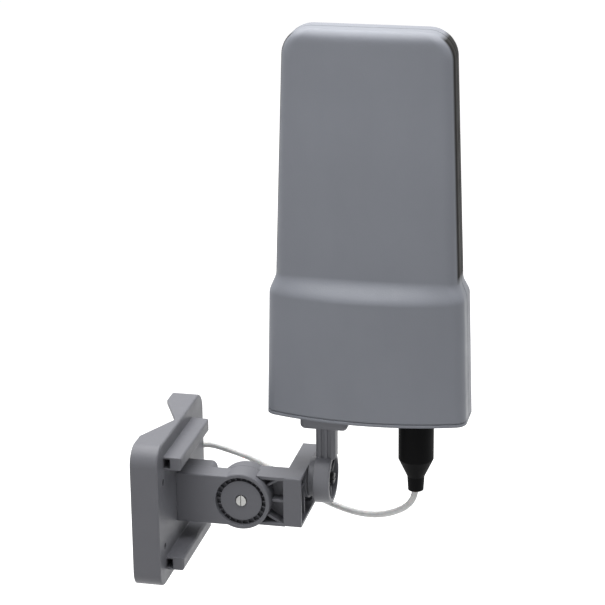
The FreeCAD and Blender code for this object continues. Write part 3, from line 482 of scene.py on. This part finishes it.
def hank_point(kind, value, bend):
    """Place of one control point of a turn with a bend radius."""
    reach = bend / math.cos(math.pi / arc_steps / 2)
    straight = hank_high - hank_low
    if kind == "down":
        return (hank_x, hank_y - bend, hank_high - straight * value)
    if kind == "up":
        return (hank_x, hank_y + bend, hank_low + straight * value)
    middle = hank_low if kind == "low" else hank_high
    return (hank_x, hank_y + reach * math.cos(value), middle + reach * math.sin(value))


def hank_route():
    """Control points of the turns: each ends by moving in to the next, and the last rises to the plug."""
    turn = turn_points()
    start = len(turn) - row_change_steps
    points = []
    for bend, inner in zip(hank_bends, hank_bends[1:] + hank_bends[-1:]):
        for index, (kind, value) in enumerate(turn):
            share = eased((index - start) / row_change_steps)
            points.append(hank_point(kind, value, bend + share * (inner - bend)))
    last = len(points) - len(tail_rise)
    for index, rise in enumerate(tail_rise):
        x, y, z = points[last + index]
        points[last + index] = (x + rise, y, z)
    return tuple(points[1:]) + tail_end


def make_lead():
    """The lead in two pieces, a front one and a rear one that runs on into the hank, with the far plug and
    the tie.
    """
    front_line = spline_line(front_route, 10)
    front = new_piece("lead_front", tube(front_line, lead_r * MM, lead_sides), "jacket")
    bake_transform(front)
    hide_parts("cable_front")
    rear_line = spline_line(rear_route + hank_route(), 6)
    rear = new_piece("lead_rear", tube(rear_line, lead_r * MM, lead_sides), "jacket")
    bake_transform(rear)
    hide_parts("cable_rear", "cable_hank")
    pieces = [make_plug(), make_tie()]


def lathe(bm, profile, x, y, sides, lobes, depth):
    """Turned form about an upright axis from (radius, height, fluted) points."""
    rings = []
    for radius, height, fluted in profile:
        ring = []
        for step in range(sides):
            angle = math.tau * step / sides
            reach = radius + (depth * math.cos(lobes * angle) if fluted else 0.0)
            corner = Vector((x + reach * math.cos(angle), y + reach * math.sin(angle), height))
            ring.append(bm.verts.new(corner * MM))
        rings.append(ring)
    for low, high in zip(rings, rings[1:]):
        for step in range(sides):
            after = (step + 1) % sides
            bm.faces.new((low[step], low[after], high[after], high[step]))
    bm.faces.new(rings[0])
    bm.faces.new(rings[-1][::-1])


def make_plug():
    """Far plug on the hank's front: crimp sleeve, fluted grip ring, collar and pin."""
    def make(bm):
        profile = ((2.6, 0.0, False), (3.6, 0.0, False), (3.8, -0.4, False), (3.8, -2.0, False),
                   (3.4, -2.4, False), (3.4, -4.0, False), (3.8, -4.4, False), (3.8, -6.0, False),
                   (3.4, -6.4, False), (3.4, -8.6, False), (4.4, -9.0, False), (4.9, -9.6, True),
                   (5.15, -10.2, True), (5.15, -18.6, True), (4.9, -19.2, True), (4.5, -19.6, False),
                   (4.5, -22.0, False), (3.9, -22.0, False), (3.9, -17.0, False), (0.9, -17.0, False),
                   (0.9, -20.6, False), (0.5, -21.2, False))
        shifted = [(radius, plug_top + height, fluted) for radius, height, fluted in profile]
        lathe(bm, shifted, plug_x, plug_y, plug_sides, plug_flutes, plug_flute_depth)

    plug = new_piece("far_plug", make, "nickel")
    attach(plug, "wall_side")
    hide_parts("lead_plug")
    return plug


def make_tie():
    """Nylon tie round the hank: a flat band, its lock and the cut tail."""
    def make(bm):
        outline = []
        for cx, cy, turn in ((1, 1, 0), (-1, 1, 90), (-1, -1, 180), (1, -1, 270)):
            for step in range(7):
                angle = math.radians(turn + 15 * step)
                outline.append((hank_x + cx * (tie_half_x - tie_corner) + tie_corner * math.cos(angle),
                                hank_y + cy * (tie_half_y - tie_corner) + tie_corner * math.sin(angle),
                                math.cos(angle), math.sin(angle)))
        section = ((0.0, -0.5), (0.0, 0.5), (0.85, 0.5), (1.0, 0.4), (1.0, -0.4), (0.85, -0.5))
        rings = []
        for x, y, out_x, out_y in outline:
            ring = []
            for out, up in section:
                ring.append(bm.verts.new(((x + out * tie_thickness * out_x) * MM,
                                          (y + out * tie_thickness * out_y) * MM,
                                          (tie_z + up * tie_width) * MM)))
            rings.append(ring)
        count = len(section)
        for index, low in enumerate(rings):
            high = rings[(index + 1) % len(rings)]
            for step in range(count):
                after = (step + 1) % count
                bm.faces.new((low[step], low[after], high[after], high[step]))
        lock = bmesh.ops.create_cube(bm, size=1.0)["verts"]
        lock_middle = Vector((hank_x + tie_half_x + lock_gap, hank_y + lock_y, tie_z))
        for vertex in lock:
            vertex.co = (lock_middle + vertex.co * Vector(lock_size)) * MM
        edges = {edge for vertex in lock for edge in vertex.link_edges}
        bmesh.ops.bevel(bm, geom=list(edges), offset=lock_edge * MM, segments=3, profile=0.5, affect="EDGES")
        end = bmesh.ops.create_cube(bm, size=1.0)["verts"]
        end_middle = Vector((hank_x + tie_half_x + tail_gap, hank_y + tail_y, tie_z))
        for vertex in end:
            vertex.co = (end_middle + vertex.co * Vector(tail_size)) * MM

    tie = new_piece("lead_tie", make, "nylon")
    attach(tie, "wall_side")
    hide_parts("hank_tie")
    return tie


# Stage, light and camera

def backdrop_shader(name, base, glow):
    """Pale surface that keeps shadows and glows where the camera sees it."""
    material = bpy.data.materials.new(name)
    material.use_nodes = True
    tree = material.node_tree
    bsdf = tree.nodes["Principled BSDF"]
    bsdf.inputs["Base Color"].default_value = (*base, 1.0)
    bsdf.inputs["Roughness"].default_value = 0.9
    bsdf.inputs["Specular IOR Level"].default_value = 0.1
    bsdf.inputs["Emission Color"].default_value = (1.0, 1.0, 1.0, 1.0)
    rays = seen_rays(tree)
    level = tree.nodes.new("ShaderNodeMath")
    level.operation = "MULTIPLY"
    level.inputs[1].default_value = glow
    tree.links.new(rays, level.inputs[0])
    tree.links.new(level.outputs["Value"], bsdf.inputs["Emission Strength"])
    return material


def seen_rays(tree):
    """1 for rays that the camera sees, straight, mirrored or through glass."""
    paths = tree.nodes.new("ShaderNodeLightPath")
    total = paths.outputs["Is Camera Ray"]
    for name in ("Is Glossy Ray", "Is Transmission Ray"):
        larger = tree.nodes.new("ShaderNodeMath")
        larger.operation = "MAXIMUM"
        tree.links.new(total, larger.inputs[0])
        tree.links.new(paths.outputs[name], larger.inputs[1])
        total = larger.outputs["Value"]
    return total


def make_floor():
    """Wide pale floor well below the part."""
    bm = bmesh.new()
    bmesh.ops.create_grid(bm, x_segments=2, y_segments=2, size=floor_half)
    mesh = bpy.data.meshes.new("floor")
    bm.to_mesh(mesh)
    bm.free()
    mesh.materials.append(backdrop_shader("floor_white", (floor_grey, floor_grey, floor_grey), floor_glow))
    floor = bpy.data.objects.new("floor", mesh)
    floor.location = floor_place
    bpy.context.scene.collection.objects.link(floor)


def make_world():
    """White surround where it is seen, soft grey light elsewhere."""
    world = bpy.data.worlds.new("studio")
    bpy.context.scene.world = world
    world.use_nodes = True
    tree = world.node_tree
    ground = tree.nodes["Background"]
    ground.inputs["Color"].default_value = (1.0, 1.0, 1.0, 1.0)
    level = tree.nodes.new("ShaderNodeMapRange")
    level.inputs["To Min"].default_value = world_light
    level.inputs["To Max"].default_value = world_seen
    tree.links.new(seen_rays(tree), level.inputs["Value"])
    tree.links.new(level.outputs["Result"], ground.inputs["Strength"])


def soft_lamp(name, place, target, size, watts):
    """Square soft box aimed at a point."""
    data = bpy.data.lights.new(name, "AREA")
    data.shape = "SQUARE"
    data.size = size
    data.energy = watts
    lamp = bpy.data.objects.new(name, data)
    lamp.location = place
    lamp.rotation_euler = (Vector(target) - Vector(place)).to_track_quat("-Z", "Y").to_euler()
    bpy.context.scene.collection.objects.link(lamp)


def make_light():
    """Broad soft box overhead, as in a light tent, and a weak fill in front."""
    soft_lamp("overhead", overhead_place, overhead_target, overhead_size, overhead_watts)
    soft_lamp("front", front_place, front_target, front_size, front_watts)


def make_camera():
    """Camera at the photograph's place, square to its target."""
    data = bpy.data.cameras.new("camera")
    data.lens = camera_lens
    data.sensor_width = camera_sensor
    camera = bpy.data.objects.new("camera", data)
    place = Vector(camera_place) * MM
    camera.location = place
    aim = (Vector(camera_target) * MM - place).to_track_quat("-Z", "Y")
    camera.rotation_euler = (aim @ Quaternion((0, 0, 1), math.radians(camera_roll))).to_euler()
    bpy.context.scene.collection.objects.link(camera)
    bpy.context.scene.camera = camera


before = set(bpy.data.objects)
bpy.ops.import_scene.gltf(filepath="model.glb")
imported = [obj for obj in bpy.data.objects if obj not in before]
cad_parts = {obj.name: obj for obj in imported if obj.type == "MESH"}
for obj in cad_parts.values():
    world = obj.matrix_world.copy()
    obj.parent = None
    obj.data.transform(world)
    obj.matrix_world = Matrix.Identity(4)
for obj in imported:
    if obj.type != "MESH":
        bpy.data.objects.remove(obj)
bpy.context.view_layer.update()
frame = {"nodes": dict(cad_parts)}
bpy.context.scene.view_settings.view_transform = "Standard"
make_camera()
make_lead()
dress_nodes(frame)
make_floor()
make_world()
make_light()
